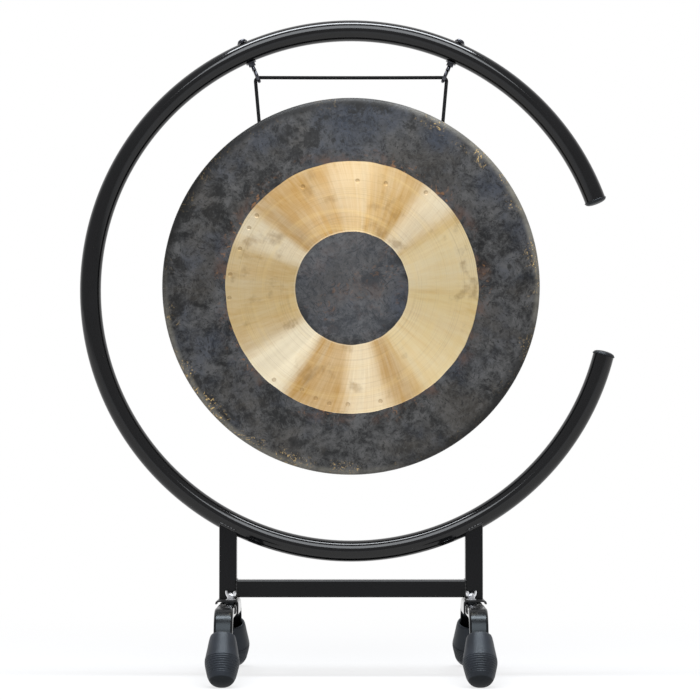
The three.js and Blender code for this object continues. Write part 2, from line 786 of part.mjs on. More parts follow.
const cordRoute = new CordRoute();
const cordSweep = new THREE.ExtrudeGeometry(circle(cordDiameter / 2, 8), {
  extrudePath: cordRoute,
  steps: cordRoute.steps,
  bevelEnabled: false,
});
const knots = [-1, 1].map((side) => new THREE.SphereGeometry(cordKnotDiameter / 2, 10, 8)
  .translate(side * knotCentre.x, 0, knotCentre.y));
place(stand, 'gong_cord', join(cordSweep, ...knots), cordBlack());

// The origin is the middle of the footprint, at floor level
const bounds = new THREE.Box3().setFromObject(stand, true);
stand.position.set(-(bounds.min.x + bounds.max.x) / 2, 0, -bounds.min.z);

export default stand;
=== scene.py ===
import math

import bpy
from mathutils import Matrix, Vector


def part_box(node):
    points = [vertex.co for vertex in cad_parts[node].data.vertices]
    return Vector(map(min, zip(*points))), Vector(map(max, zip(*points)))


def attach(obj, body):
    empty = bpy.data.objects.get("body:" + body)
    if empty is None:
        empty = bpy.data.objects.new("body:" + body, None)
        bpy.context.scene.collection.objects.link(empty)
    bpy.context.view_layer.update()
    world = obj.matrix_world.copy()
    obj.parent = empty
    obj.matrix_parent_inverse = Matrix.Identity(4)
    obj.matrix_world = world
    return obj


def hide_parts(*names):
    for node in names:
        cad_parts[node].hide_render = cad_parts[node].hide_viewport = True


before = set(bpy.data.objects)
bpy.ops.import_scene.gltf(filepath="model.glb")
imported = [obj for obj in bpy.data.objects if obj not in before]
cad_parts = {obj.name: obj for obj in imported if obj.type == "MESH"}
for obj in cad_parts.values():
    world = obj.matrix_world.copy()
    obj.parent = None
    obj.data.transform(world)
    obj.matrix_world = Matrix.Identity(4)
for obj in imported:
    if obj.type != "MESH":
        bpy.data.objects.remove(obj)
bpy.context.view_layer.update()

TAU = 2 * math.pi

# Where the pieces are, in metres: the row's frame has its origin on the floor
MIDDLE = sum(end.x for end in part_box("cross_bar")) / 2
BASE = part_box("left_upright")[0].z
RING_CENTRE = Vector((MIDDLE, 0, BASE + 0.4554))
RING_RADIUS, TUBE_RADIUS, TUBE_WALL = 0.3855, 0.0156, 0.002
UPPER_END, LOWER_END = 20.3, -14.6
GONG_CENTRE = Vector((MIDDLE, 0, BASE + 0.4607))
GONG_RADIUS, GONG_DEPTH, GONG_SHEET = 0.2784, 0.045, 0.0024
GONG_FRONT, GONG_CROWN, GONG_BEND = 0.022, 0.003, 0.008
GONG_LEAN = math.radians(6)
UPRIGHT_OUT, UPRIGHT_HALF = 0.18095, 0.0129
# The foot: its slope, its mouth's place under the leg's top face, and the run to its sole
FOOT_SLOPE = math.radians(59)
FOOT_BELOW, SOLE_EDGE = 0.0045, 0.0688
CORNERS = ("front_left", "front_right", "rear_left", "rear_right")


def rim_radius(height):
    """The gong's outside radius at a height towards the front, as its rim leans in behind."""
    return GONG_RADIUS - (GONG_FRONT - height) * math.tan(GONG_LEAN)


# Camera, floor and light

LENS = 139.25
CAMERA_PLACE = (MIDDLE - 0.0015, -4.0, 0.326)
CAMERA_LIFT = math.radians(2.214)
WHITE, PAPER = (1, 1, 1, 1), (0.62, 0.62, 0.63, 1)
FRONT_GREY, BACK_GREY = (0.46, 0.46, 0.47, 1), (0.38, 0.38, 0.39, 1)
LAMP_COLOUR = (0.92, 0.96, 1.0)
# Name, place, aim, width, depth and watts of each lamp
LAMPS = (("overhead_lamp", (0, -0.35, 3.55), (0, 0, 0.6), 2.9, 0.65, 150),
         ("front_lamp", (0, -4.1, 4.1), (0, 0, 0.5), 3.9, 2.7, 212))


def make_camera():
    lens = bpy.data.cameras.new("camera")
    lens.lens, lens.sensor_width, lens.clip_end = LENS, 36.0, 60
    camera = bpy.data.objects.new("camera", lens)
    bpy.context.scene.collection.objects.link(camera)
    camera.location = CAMERA_PLACE
    camera.rotation_euler = (math.pi / 2 + CAMERA_LIFT, 0, 0)
    bpy.context.scene.camera = camera


class Graph:
    """Short calls for laying out the nodes of one material or node group."""

    def __init__(self, tree):
        self.tree = tree

    def add(self, kind, inputs=None, **settings):
        node = self.tree.nodes.new(kind)
        for key, value in settings.items():
            setattr(node, key, value)
        for key, value in (inputs or {}).items():
            socket = node.inputs[key]
            if isinstance(value, bpy.types.NodeSocket):
                self.tree.links.new(value, socket)
            else:
                socket.default_value = value
        return node

    def math(self, operation, a, b=0.0):
        return self.add("ShaderNodeMath", {0: a, 1: b}, operation=operation).outputs[0]

    def times(self, a, b):
        return self.math("MULTIPLY", a, b)

    def plus(self, a, b):
        return self.math("ADD", a, b)

    def less(self, a, b):
        return self.math("SUBTRACT", a, b)

    def larger(self, a, b):
        return self.math("MAXIMUM", a, b)

    def vector(self, operation, a, b=(0, 0, 0), out="Vector"):
        return self.add("ShaderNodeVectorMath", {0: a, 1: b}, operation=operation).outputs[out]

    def shifted(self, vector, x, z):
        return self.vector("ADD", vector, (x, 0, z))

    def dot(self, a, b):
        return self.vector("DOT_PRODUCT", a, b, "Value")

    def scaled(self, vector, by):
        return self.add("ShaderNodeVectorMath", {0: vector, "Scale": by}, operation="SCALE").outputs[0]

    def length(self, vector):
        return self.vector("LENGTH", vector, out="Value")

    def span(self, value, low, high, to_low=0.0, to_high=1.0, smooth=True):
        node = self.add("ShaderNodeMapRange", {0: value, 1: low, 2: high, 3: to_low, 4: to_high})
        node.interpolation_type = "SMOOTHSTEP" if smooth else "LINEAR"
        return node.outputs[0]

    def mixed(self, share, a, b, way="MIX"):
        node = self.add("ShaderNodeMix", {0: share, 6: a, 7: b}, data_type="RGBA", blend_type=way)
        return node.outputs[2]

    def noise(self, vector, scale, detail=3.0, rough=0.5, distortion=0.0):
        inputs = {"Vector": vector, "Scale": scale, "Detail": detail, "Roughness": rough,
                  "Distortion": distortion}
        return self.add("ShaderNodeTexNoise", inputs).outputs[0]

    def patches(self, vector, scale, low, high, detail=3.0, rough=0.5, to_low=0.0, to_high=1.0):
        """Noise cut to a mask between two of its levels."""
        return self.span(self.noise(vector, scale, detail, rough), low, high, to_low, to_high)

    def spots(self, vector, scale):
        return self.add("ShaderNodeTexVoronoi", {"Vector": vector, "Scale": scale}).outputs["Distance"]

    def feed(self, node, **sources):
        for key, source in sources.items():
            self.tree.links.new(source, node.inputs[key.replace("_", " ")])

    def part(self, vector, axis):
        return self.add("ShaderNodeSeparateXYZ", {0: vector}).outputs[axis]

    def placed(self):
        return self.add("ShaderNodeTexCoord").outputs["Object"]

    def along(self):
        return self.add("ShaderNodeTexCoord").outputs["UV"]

    def bump(self, height, distance, strength=1.0):
        inputs = {"Height": height, "Distance": distance, "Strength": strength}
        return self.add("ShaderNodeBump", inputs).outputs[0]


def srgb(red, green, blue):
    def line(c):
        c = c / 255
        return c / 12.92 if c <= 0.04045 else ((c + 0.055) / 1.055) ** 2.4
    return (line(red), line(green), line(blue), 1.0)


def cleared(holder):
    """The empty node graph of a new material or world."""
    holder.use_nodes = True
    holder.node_tree.nodes.clear()
    return Graph(holder.node_tree)


def ray_kinds(g):
    """1 for what the camera sees itself, and 1 for what is seen in gloss or through something."""
    path = g.add("ShaderNodeLightPath").outputs
    return path["Is Camera Ray"], g.larger(path["Is Glossy Ray"], path["Is Transmission Ray"])


def make_studio():
    """A pale surround that is dimmer in front, a pale floor, and two long soft lamps."""
    world = bpy.data.worlds.new("studio")
    g = cleared(world)
    direction = g.add("ShaderNodeTexCoord").outputs["Generated"]
    behind = g.span(g.part(direction, "Y"), 0.0, 0.55)
    direct, mirrored = ray_kinds(g)
    surround = g.mixed(behind, FRONT_GREY, g.mixed(mirrored, BACK_GREY, WHITE))
    seen = g.mixed(direct, surround, WHITE)
    background = g.add("ShaderNodeBackground", {"Color": seen, "Strength": 1.0})
    g.feed(g.add("ShaderNodeOutputWorld"), Surface=background.outputs[0])
    bpy.context.scene.world = world

    bpy.ops.mesh.primitive_plane_add(size=60, location=(0, 0, 0))
    floor = bpy.context.object
    floor.name = "floor"
    material = bpy.data.materials.new("floor_paper")
    g = cleared(material)
    paper = g.add("ShaderNodeBsdfDiffuse", {"Color": PAPER})
    white = g.add("ShaderNodeEmission", {"Color": WHITE, "Strength": 1.0})
    direct, mirrored = ray_kinds(g)
    mirrored = g.times(mirrored, g.span(g.part(g.placed(), "Y"), -2.2, -0.9, 0.25, 1.0))
    seen = g.times(direct, g.span(g.length(g.placed()), 0.25, 1.6, 0.74, 1.0))
    share = g.larger(seen, mirrored)
    both = g.add("ShaderNodeMixShader", {0: share, 1: paper.outputs[0], 2: white.outputs[0]})
    g.feed(g.add("ShaderNodeOutputMaterial"), Surface=both.outputs[0])
    floor.data.materials.append(material)

    for name, place, aim, width, depth, watts in LAMPS:
        light = bpy.data.lights.new(name, "AREA")
        light.shape = "RECTANGLE"
        light.size, light.size_y = width, depth
        light.energy, light.color = watts, LAMP_COLOUR
        holder = bpy.data.objects.new(name, light)
        holder.location = place
        holder.rotation_euler = (Vector(aim) - Vector(place)).to_track_quat("-Z", "Y").to_euler()
        bpy.context.scene.collection.objects.link(holder)
    bpy.context.scene.view_settings.view_transform = "Standard"


# Mesh makers

ACROSS = Vector((0, 1, 0))


def new_object(name, verts, faces):
    mesh = bpy.data.meshes.new(name)
    mesh.from_pydata([tuple(v) for v in verts], [], faces)
    made = bpy.data.objects.new(name, mesh)
    bpy.context.scene.collection.objects.link(made)
    return made


def new_piece(name, verts, faces, body, uvs=None, place=None):
    piece = new_object(name, verts, faces)
    if uvs:
        layer = piece.data.uv_layers.new(name="lay")
        for loop, uv in zip(layer.data, uvs):
            loop.uv = uv
    piece.data.validate()
    piece.data.shade_smooth()
    if place:
        piece.location = place
        bpy.context.view_layer.update()
    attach(piece, body)
    return piece


def sharpen(piece, angle):
    """Smooth shading that breaks at edges sharper than the angle."""
    piece.data.shade_smooth()
    piece.data.set_sharp_from_angle(angle=math.radians(angle))


def cut_away(piece, name, shape):
    """Takes a shape, as vertices and faces, out of the piece."""
    cutter = new_object(name, *shape)
    modifier = piece.modifiers.new("cut", "BOOLEAN")
    modifier.object, modifier.solver = cutter, "EXACT"
    graph = bpy.context.evaluated_depsgraph_get()
    cut = bpy.data.meshes.new_from_object(piece.evaluated_get(graph))
    piece.modifiers.clear()
    old, piece.data = piece.data, cut
    bpy.data.meshes.remove(old)
    bpy.data.objects.remove(cutter)


def skin(rows, ends=True):
    """Faces over rows of points, where each row is a closed outline."""
    count = len(rows[0])
    verts = [p for row in rows for p in row]
    faces = []
    for r in range(len(rows) - 1):
        for i in range(count):
            a, b = r * count + i, r * count + (i + 1) % count
            faces.append((a, b, b + count, a + count))
    if ends:
        last = (len(rows) - 1) * count
        faces.append(tuple(reversed(range(count))))
        faces.append(tuple(range(last, last + count)))
    return verts, faces


def turned(profile, sides, frame_of=Matrix.Identity(4)):
    """A turned form about +Z from (radius, height) points, rising on the outside. Closes on the axis."""
    verts, faces, rows = [], [], []
    for radius, height in profile:
        if radius < 1e-7:
            rows.append([len(verts)] * sides)
            verts.append(Vector((0, 0, height)))
        else:
            rows.append(list(range(len(verts), len(verts) + sides)))
            verts += [Vector((x, y, height)) for x, y in round_outline(radius, sides)]
    for low, high in zip(rows, rows[1:]):
        for k in range(sides):
            j = (k + 1) % sides
            faces.append(tuple(dict.fromkeys((low[k], low[j], high[j], high[k]))))
    return [frame_of @ v for v in verts], faces


def round_row(centre, radius, one, other, sides):
    """Points round a centre, from one direction towards the other."""
    turns = [TAU * k / sides for k in range(sides)]
    return [centre + radius * (math.cos(t) * one + math.sin(t) * other) for t in turns]


def tube_uvs(lengths, sides):
    """UVs for a skinned tube: U goes once round it, V is the run along it in metres."""
    uvs = []
    for low, high in zip(lengths, lengths[1:]):
        for k in range(sides):
            uvs += [(k / sides, low), ((k + 1) / sides, low), ((k + 1) / sides, high), (k / sides, high)]
    return uvs


def swept(path, radius, sides):
    """A round tube along points in an upright plane across Y, as vertices, faces and UVs."""
    rows, lengths, run = [], [], 0.0
    for i, point in enumerate(path):
        ahead = path[min(i + 1, len(path) - 1)] - path[max(i - 1, 0)]
        rows.append(round_row(point, radius, ACROSS.cross(ahead).normalized(), ACROSS, sides))
        run += (point - path[i - 1]).length if i else 0
        lengths.append(run)
    verts, faces = skin(rows)
    return verts, faces, tube_uvs(lengths, sides) + [(0.0, 0.0)] * sides + [(0.0, run)] * sides


def joined(*parts):
    verts, faces = [], []
    for part_verts, part_faces in parts:
        start = len(verts)
        verts += part_verts
        faces += [tuple(start + i for i in face) for face in part_faces]
    return verts, faces


def moved(matrix, part):
    return [matrix @ v for v in part[0]], part[1]


def prism(outline, low, high):
    """A straight solid from an outline of (x, y) points, between two heights."""
    return skin([[Vector((x, y, low)) for x, y in outline], [Vector((x, y, high)) for x, y in outline]])


def round_outline(radius, sides):
    return [(radius * math.cos(TAU * k / sides), radius * math.sin(TAU * k / sides)) for k in range(sides)]


# Finishes shared by several materials

def new_group(name, inputs, outputs):
    """A node group whose sockets are all plain values."""
    tree = bpy.data.node_groups.new(name, "ShaderNodeTree")
    for label, value in inputs:
        socket = tree.interface.new_socket(label, in_out="INPUT", socket_type="NodeSocketFloat")
        socket.default_value = value
    for label in outputs:
        tree.interface.new_socket(label, in_out="OUTPUT", socket_type="NodeSocketFloat")
    g = Graph(tree)
    return g, g.add("NodeGroupInput").outputs, g.add("NodeGroupOutput")


def paint_film_group():
    """Sprayed paint: a faint orange peel, and dust that dulls it in places."""
    g, given, out = new_group(
        "paint film",
        (("Peel size", 700.0), ("Base roughness", 0.12), ("Dust", 0.06), ("Side gloss", 0.0)),
        ("Height", "Roughness", "Dust mask"))
    where = g.placed()
    peel = g.noise(where, given["Peel size"], 2.0, 0.45)
    specks = g.patches(where, 900.0, 0.68, 0.8, 2.0)
    dust = g.times(g.patches(where, 9.0, 0.45, 0.75, 4.0, 0.6), given["Dust"])
    rough = g.plus(given["Base roughness"], g.plus(dust, g.times(specks, 0.05)))
    sideways = g.math("ABSOLUTE", g.part(g.add("ShaderNodeNewGeometry").outputs["True Normal"], "X"))
    rough = g.less(rough, g.times(sideways, given["Side gloss"]))
    g.feed(out, Height=peel, Roughness=rough, Dust_mask=g.plus(dust, g.times(specks, 0.03)))


def moulded_grain_group():
    """Moulded rubber or plastic: a fine matt grain with slow flow marks."""
    g, given, out = new_group(
        "moulded grain",
        (("Grain size", 1400.0), ("Base roughness", 0.5), ("Flow", 0.1)),
        ("Height", "Roughness", "Tone"))
    where = g.placed()
    grain = g.noise(where, given["Grain size"], 3.0, 0.6)
    flow = g.noise(where, 26.0, 3.0, 0.55, 0.6)
    shift = g.times(g.less(flow, 0.5), given["Flow"])
    g.feed(out, Height=grain, Roughness=g.plus(given["Base roughness"], shift), Tone=flow)


def plated_steel_group():
    """Plated steel: hairline polish marks and slight clouding."""
    g, given, out = new_group(
        "plated steel",
        (("Mark size", 420.0), ("Base roughness", 0.12), ("Clouding", 0.08)),
        ("Height", "Roughness", "Cloud"))
    where = g.placed()
    stretched = g.vector("MULTIPLY", where, (1.0, 1.0, 6.0))
    marks = g.noise(stretched, given["Mark size"], 3.0, 0.6)
    cloud = g.noise(where, 130.0, 3.0, 0.5)
    rough = g.plus(given["Base roughness"], g.times(cloud, given["Clouding"]))
    g.feed(out, Height=marks, Roughness=rough, Cloud=cloud)


def set_inputs(node, values):
    """Puts plain values on a node's own inputs, where an underscore stands for a space."""
    for key, value in values.items():
        node.inputs[key.replace("_", " ")].default_value = value
    return node


def new_material(name, **shader_values):
    material = bpy.data.materials.new(name)
    g = cleared(material)
    shader = set_inputs(g.add("ShaderNodeBsdfPrincipled"), shader_values)
    g.feed(g.add("ShaderNodeOutputMaterial"), Surface=shader.outputs[0])
    return material, g, shader


def use_group(g, name, **values):
    node = g.add("ShaderNodeGroup", node_tree=bpy.data.node_groups[name])
    return set_inputs(node, values).outputs


def paint(name, colour, dusty, roughness, peel, dust, gloss=0.5, side_gloss=0.0, tint=(1, 1, 1, 1)):
    material, g, shader = new_material(name, Metallic=0.0, IOR=1.5, Specular_IOR_Level=gloss,
                                       Specular_Tint=tint)
    film = use_group(g, "paint film", Peel_size=peel, Base_roughness=roughness, Dust=dust,
                     Side_gloss=side_gloss)
    tone = g.mixed(film["Dust mask"], colour, dusty)
    g.feed(shader, Base_Color=tone, Roughness=film["Roughness"])
    g.feed(shader, Normal=g.bump(film["Height"], 0.000002))
    return material


def moulded(name, colour, worn, roughness, grain, depth, gloss=0.5, shaded_sole=False):
    material, g, shader = new_material(name, Metallic=0.0, IOR=1.5, Specular_IOR_Level=gloss,
                                       Specular_Tint=(0.84, 0.93, 1, 1))
    mould = use_group(g, "moulded grain", Grain_size=grain, Base_roughness=roughness, Flow=0.12)
    tone = g.mixed(g.span(mould["Tone"], 0.3, 0.75), colour, worn)
    rough = mould["Roughness"]
    if shaded_sole:
        rows, mouth = leg_line()
        seat_out = rows[mouth][0] - FOOT_BELOW * math.sin(FOOT_SLOPE)
        seat_up = BASE + rows[mouth][1] - FOOT_BELOW * math.cos(FOOT_SLOPE)
        start = seat_out * math.cos(FOOT_SLOPE) - seat_up * math.sin(FOOT_SLOPE)
        # Painted shade: past SOLE_EDGE the foot's sole is darkened towards black; it is also made rougher
        along = g.dot(g.vector("ABSOLUTE", g.placed()), (0, math.cos(FOOT_SLOPE), -math.sin(FOOT_SLOPE)))
        sole = g.span(along, start + SOLE_EDGE - 0.0004, start + SOLE_EDGE + 0.0014)
        tone = g.mixed(g.times(sole, 0.85), tone, (0.002, 0.002, 0.0022, 1))
        rough = g.plus(rough, g.times(sole, 0.25))
    g.feed(shader, Base_Color=tone, Roughness=rough, Normal=g.bump(mould["Height"], depth))
    return material


def plated(name, colour, clouded, roughness):
    material, g, shader = new_material(name, Metallic=1.0)
    steel = use_group(g, "plated steel", Base_roughness=roughness)
    tone = g.mixed(g.span(steel["Cloud"], 0.3, 0.75), colour, clouded)
    g.feed(shader, Base_Color=tone, Roughness=steel["Roughness"])
    g.feed(shader, Normal=g.bump(steel["Height"], 0.000008))
    return material


# The gong's finish: black scale, and a bright scraped band with a black core

BAND_CENTRE, BAND_RADIUS = (0.0014, -0.0025), 0.1860
CORE_CENTRE, CORE_RADIUS = (0.0011, -0.0040), 0.0837
CRUST_DARK, CRUST_PALE, CRUST_SLATE = srgb(14, 14, 14), srgb(79, 78, 77), srgb(47, 54, 67)
CRUST_BROWN, CRUST_BLOT, CORE_PALE = srgb(63, 58, 51), srgb(15, 14, 13), srgb(112, 116, 124)
RUST_HAZE, RUST_FLECK = srgb(86, 64, 52), srgb(128, 88, 52)
RIM_WORN_SHEEN, RIM_BRASS, RIM_SHADE = srgb(118, 114, 104), srgb(190, 160, 105), (0.001, 0.001, 0.001, 1)
BRONZE_DEEP, BRONZE_PALE, BRONZE_GOLD = srgb(190, 147, 82), srgb(255, 240, 207), srgb(255, 228, 158)
BRONZE_BROWN, BRONZE_YELLOW = srgb(150, 116, 70), srgb(248, 220, 156)
# Painted highlight fans across the face, as (degrees, spread, strength): pale and gold fans stand in for the
# bronze's reflections
HIGHLIGHT_FANS = ((90, 15, 0.3), (45, 13, 0.85), (151, 12, 0.9), (225, 17, 1.35), (277, 16, 0.8), (209, 10, 0.2),
             (15, 24, 0.45), (172, 26, 0.16), (328, 30, 0.36))
GOLD_SHEEN_FANS = ((12, 32, 1.0), (324, 27, 0.85), (352, 26, 0.9), (180, 44, 0.5), (70, 30, 0.1))
# Rim directions as (degrees, spread, strength): a lighter rim that is partly wear and partly painted
# reflection, then painted shade on the rim
WORN_SHEEN_RIM = ((28, 62, 1.0), (232, 70, 1.0))
SHADED_RIM = ((130, 62, 1.0), (318, 36, 0.8))
# Hammer dimples in the band, as (degrees, radius)
DIMPLES = ((52, 0.177), (72, 0.161), (87, 0.157), (116, 0.165), (143, 0.1755), (150, 0.175), (161, 0.1745),
           (174, 0.180), (185, 0.181), (230, 0.178), (244, 0.168), (252, 0.172), (259, 0.1745), (268, 0.1725),
           (284, 0.173))


def from_centre(g, across, up):
    """Distance and direction of each point from a centre on the gong's face."""
    flat = g.vector("SUBTRACT", g.vector("MULTIPLY", g.placed(), (1, 0, 1)), (across, 0, up))
    return g.length(flat), g.vector("NORMALIZE", flat)


def rays(g, direction, table):
    """The largest of several fans from the centre, each at its full strength along one direction."""
    largest = 0.0
    for degrees, spread, strength in table:
        turn = math.radians(degrees)
        facing = g.dot(direction, (math.cos(turn), 0, math.sin(turn)))
        fan = g.span(facing, math.cos(math.radians(spread)), 1.0)
        largest = g.larger(largest, g.times(fan, strength))
    return largest


def scraped_edge(g, radius, direction, seed, wave):
    """Radius plus the small facets that hand scraping leaves along an edge."""
    around = g.vector("ADD", direction, seed)
    facets = g.less(g.spots(around, 5.5), 0.38)
    slow = g.times(g.less(g.noise(around, 1.8, 2.0), 0.5), 2.0)
    return g.plus(radius, g.times(g.plus(facets, slow), wave))


def band_mask(g):
    """1 on the bright band, 0 on the scale outside it and on the core inside it."""
    radius, direction = from_centre(g, *BAND_CENTRE)
    edge = scraped_edge(g, radius, direction, (3, 1, 7), 0.0017)
    outside = g.span(edge, BAND_RADIUS - 0.0004, BAND_RADIUS + 0.0004, 1.0, 0.0)
    core, core_direction = from_centre(g, *CORE_CENTRE)
    core_edge = scraped_edge(g, core, core_direction, (5, 2, 1), 0.0009)
    inside = g.span(core_edge, CORE_RADIUS - 0.0003, CORE_RADIUS + 0.0003)
    lip = g.times(g.span(core_edge, CORE_RADIUS, CORE_RADIUS + 0.0008),
                 g.span(core_edge, CORE_RADIUS + 0.0010, CORE_RADIUS + 0.0024, 1.0, 0.0))
    return g.times(outside, inside), lip, radius


def scale_crust(g, band_distance):
    """Fired scale: slate and charcoal mottling, hammer marks, rust by the band, a lighter rim that is partly
    wear and partly painted reflection, painted shade on the rim, and brass chips at the rim.
    """
    where = g.placed()
    radius, direction = from_centre(g, 0, 0)
    drift = g.add("ShaderNodeTexNoise", {"Vector": where, "Scale": 22.0, "Detail": 3.0}).outputs[1]
    warped = g.vector("ADD", where, g.scaled(drift, 0.03))
    mottle = g.noise(warped, 26.0, 7.0, 0.68)
    fine = g.noise(where, 250.0, 4.0, 0.65)
    small = g.noise(g.shifted(warped, 0.7, 0.2), 85.0, 7.0, 0.78)
    grit = g.less(small, 0.5)
    cloud = g.plus(mottle, g.times(grit, 1.15))
    colour = g.mixed(g.span(cloud, 0.34, 0.68, smooth=False), CRUST_DARK, CRUST_PALE)
    slate = g.patches(g.shifted(where, 0.3, 0.1), 8.0, 0.47, 0.66, 4.0, 0.6)
    colour = g.mixed(g.times(slate, g.span(small, 0.3, 0.7, 0.25, 0.8)), colour, CRUST_SLATE)
    brown = g.patches(g.shifted(where, 0.9, 0.5), 11.0, 0.5, 0.66, 4.0, 0.62)
    colour = g.mixed(g.times(brown, 0.5), colour, CRUST_BROWN)
    blots = g.span(g.plus(g.spots(warped, 21.0), g.times(grit, 0.9)), 0.22, 0.42, 1.0, 0.0)
    blots = g.times(blots, g.patches(where, 9.0, 0.45, 0.57, 2.0))
    colour = g.mixed(g.times(blots, 0.8), colour, CRUST_BLOT)
    marks = g.span(g.spots(where, 62.0), 0.17, 0.30, 1.0, 0.0)
    marks = g.times(marks, g.patches(g.shifted(where, 0.0, 0.4), 6.0, 0.5, 0.62, 2.0))
    colour = g.mixed(g.times(marks, 0.7), colour, CRUST_BLOT)
    colour = g.mixed(g.times(g.span(fine, 0.5, 0.72), 0.35), colour, CRUST_PALE)
    pits = g.patches(g.shifted(warped, 0.2, 0.9), 190.0, 0.36, 0.46, 5.0, 0.7, 0.75, 0.0)
    colour = g.mixed(pits, colour, CRUST_BLOT)
    for degrees, seed in ((35, 0.0), (-62, 5.0)):
        inputs = {"Vector": where, "Angle": math.radians(degrees)}
        thin = g.add("ShaderNodeVectorRotate", inputs, rotation_type="Y_AXIS").outputs[0]
        thin = g.shifted(g.vector("MULTIPLY", thin, (1, 1, 0.16)), seed, 0)
        scratch = g.patches(g.vector("ADD", thin, g.scaled(drift, 0.02)), 330.0, 0.62, 0.70, 2.0)
        colour = g.mixed(g.times(scratch, g.span(radius, 0.06, 0.12, 0.85, 0.25)), colour, CRUST_BLOT)
    colour = g.mixed(g.span(radius, 0.07, 0.09, 0.13, 0.0), colour, CORE_PALE)
    near = g.span(g.math("ABSOLUTE", g.less(band_distance, BAND_RADIUS)), 0.0, 0.026, 1.0, 0.0)
    rusty = g.larger(near, g.span(radius, 0.06, 0.10, 0.3, 0.0))
    haze = g.times(g.patches(warped, 30.0, 0.48, 0.68, 4.0, 0.7), rusty)
    colour = g.mixed(g.times(haze, 0.7), colour, RUST_HAZE)
    flecks = g.times(g.patches(warped, 150.0, 0.56, 0.66, 4.0, 0.6), rusty)
    flecks = g.times(flecks, g.patches(where, 14.0, 0.48, 0.6, 2.0))
    colour = g.mixed(g.times(flecks, 0.8), colour, RUST_FLECK)
    # Partly wear, partly painted reflection: a lighter rim towards the upper right and lower left, broken by
    # noise; the brass chips follow the same directions
    worn_sheen_way = g.larger(rays(g, direction, WORN_SHEEN_RIM), 0.12)
    worn = g.times(g.span(radius, 0.2668, 0.2755), worn_sheen_way)
    worn = g.times(worn, g.patches(warped, 60.0, 0.35, 0.6, 3.0, 0.6, 0.55, 1.0))
    colour = g.mixed(g.times(worn, 0.8), colour, RIM_WORN_SHEEN)
    # Painted shade: the rim is darkened to near black towards the upper left and the lower right
    rim_shade = g.times(g.span(radius, 0.2600, 0.2740), rays(g, direction, SHADED_RIM))
    colour = g.mixed(rim_shade, colour, RIM_SHADE)
    chips = g.times(g.span(radius, 0.2545, 0.2690), g.patches(warped, 260.0, 0.56, 0.64, 3.0, 0.7))
    chips = g.times(g.times(chips, worn_sheen_way), g.patches(where, 30.0, 0.45, 0.6, 2.0))
    colour = g.mixed(chips, colour, RIM_BRASS)
    height = g.plus(g.times(fine, 0.5), g.times(mottle, 1.4))
    return colour, g.less(height, g.times(marks, 0.8))


def scraped_bronze(g):
    """Bright bronze: lathe lines round the centre, painted highlight fans (pale and gold) with streaks across
    them, hammer dimples with painted shade on their walls.
    """
    radius, direction = from_centre(g, *BAND_CENTRE)
    along_radius = g.add("ShaderNodeCombineXYZ", {"X": g.times(radius, 14.0)}).outputs[0]

    def swirled(turn_share, run_share):
        return g.vector("ADD", g.scaled(direction, turn_share), g.scaled(along_radius, run_share))

    streaks = g.noise(swirled(1.0, 0.06), 11.0, 4.0, 0.55)
    hair = g.noise(swirled(1.0, 0.09), 46.0, 3.0, 0.6)
    soft = g.noise(g.placed(), 15.0, 3.0, 0.55)
    # Painted highlight: pale fans lift the streaky tone and gold fans tint it, standing in for the lamps'
    # reflections
    tone = g.times(rays(g, direction, HIGHLIGHT_FANS), 0.62)
    for noise, strength in ((streaks, 0.6), (hair, 0.36), (soft, 0.5)):
        tone = g.plus(tone, g.times(g.less(noise, 0.5), strength))
    gold_sheen = g.times(rays(g, direction, GOLD_SHEEN_FANS), g.span(streaks, 0.25, 0.7, 0.55, 1.0))
    colour = g.mixed(gold_sheen, BRONZE_DEEP, BRONZE_GOLD)
    colour = g.mixed(g.span(tone, -0.16, 0.72, smooth=False), colour, BRONZE_PALE)
    lines = g.noise(swirled(0.3, 18.0), 2.2, 4.0, 0.65)
    colour = g.mixed(g.times(g.span(lines, 0.5, 0.7), 0.22), colour, BRONZE_BROWN)
    rings = g.patches(swirled(0.8, 3.2), 1.7, 0.5, 0.72, 3.0, 0.6)
    colour = g.mixed(g.times(rings, 0.30), colour, BRONZE_YELLOW)
    stain = g.patches(g.shifted(g.placed(), 0.2, 0.7), 24.0, 0.58, 0.74, 4.0, 0.6)
    colour = g.mixed(g.times(stain, 0.5), colour, BRONZE_BROWN)
    nearest = 1.0
    for degrees, reach in DIMPLES:
        turn = math.radians(degrees)
        across, up = BAND_CENTRE[0] + reach * math.cos(turn), BAND_CENTRE[1] + reach * math.sin(turn)
        nearest = g.math("MINIMUM", nearest, from_centre(g, across, up)[0])
    dent = g.span(nearest, 0.0016, 0.0038, 1.0, 0.0)
    # Painted shade: a brown ring darkens each dimple's wall
    wall = g.times(dent, g.less(1.3, dent))
    colour = g.mixed(g.times(wall, 1.3), colour, BRONZE_BROWN)
    height = g.plus(g.times(lines, 0.5), g.times(hair, 0.35))
    return colour, g.less(height, g.times(dent, 3.0)), g.span(streaks, 0.2, 0.8, 0.42, 0.34)


def gong_material():
    material, g, shader = new_material("gong_bronze", IOR=1.5, Anisotropic=0.45, Anisotropic_Rotation=0.25,
                                       Specular_IOR_Level=0.3)
    band, lip, distance = band_mask(g)
    crust, crust_height = scale_crust(g, distance)
    bronze, bronze_height, bronze_rough = scraped_bronze(g)
    bronze = g.mixed(g.times(lip, 0.3), bronze, BRONZE_PALE)
    rough = g.mixed(band, (0.52, 0.52, 0.52, 1), bronze_rough)
    height = g.mixed(band, g.plus(crust_height, 2.0), bronze_height)
    tangent = g.add("ShaderNodeTangent", direction_type="RADIAL", axis="Y").outputs[0]
    g.feed(shader, Base_Color=g.mixed(band, crust, bronze), Metallic=band, Roughness=rough,
           Normal=g.bump(height, 0.00012, 0.6), Tangent=tangent)
    return material


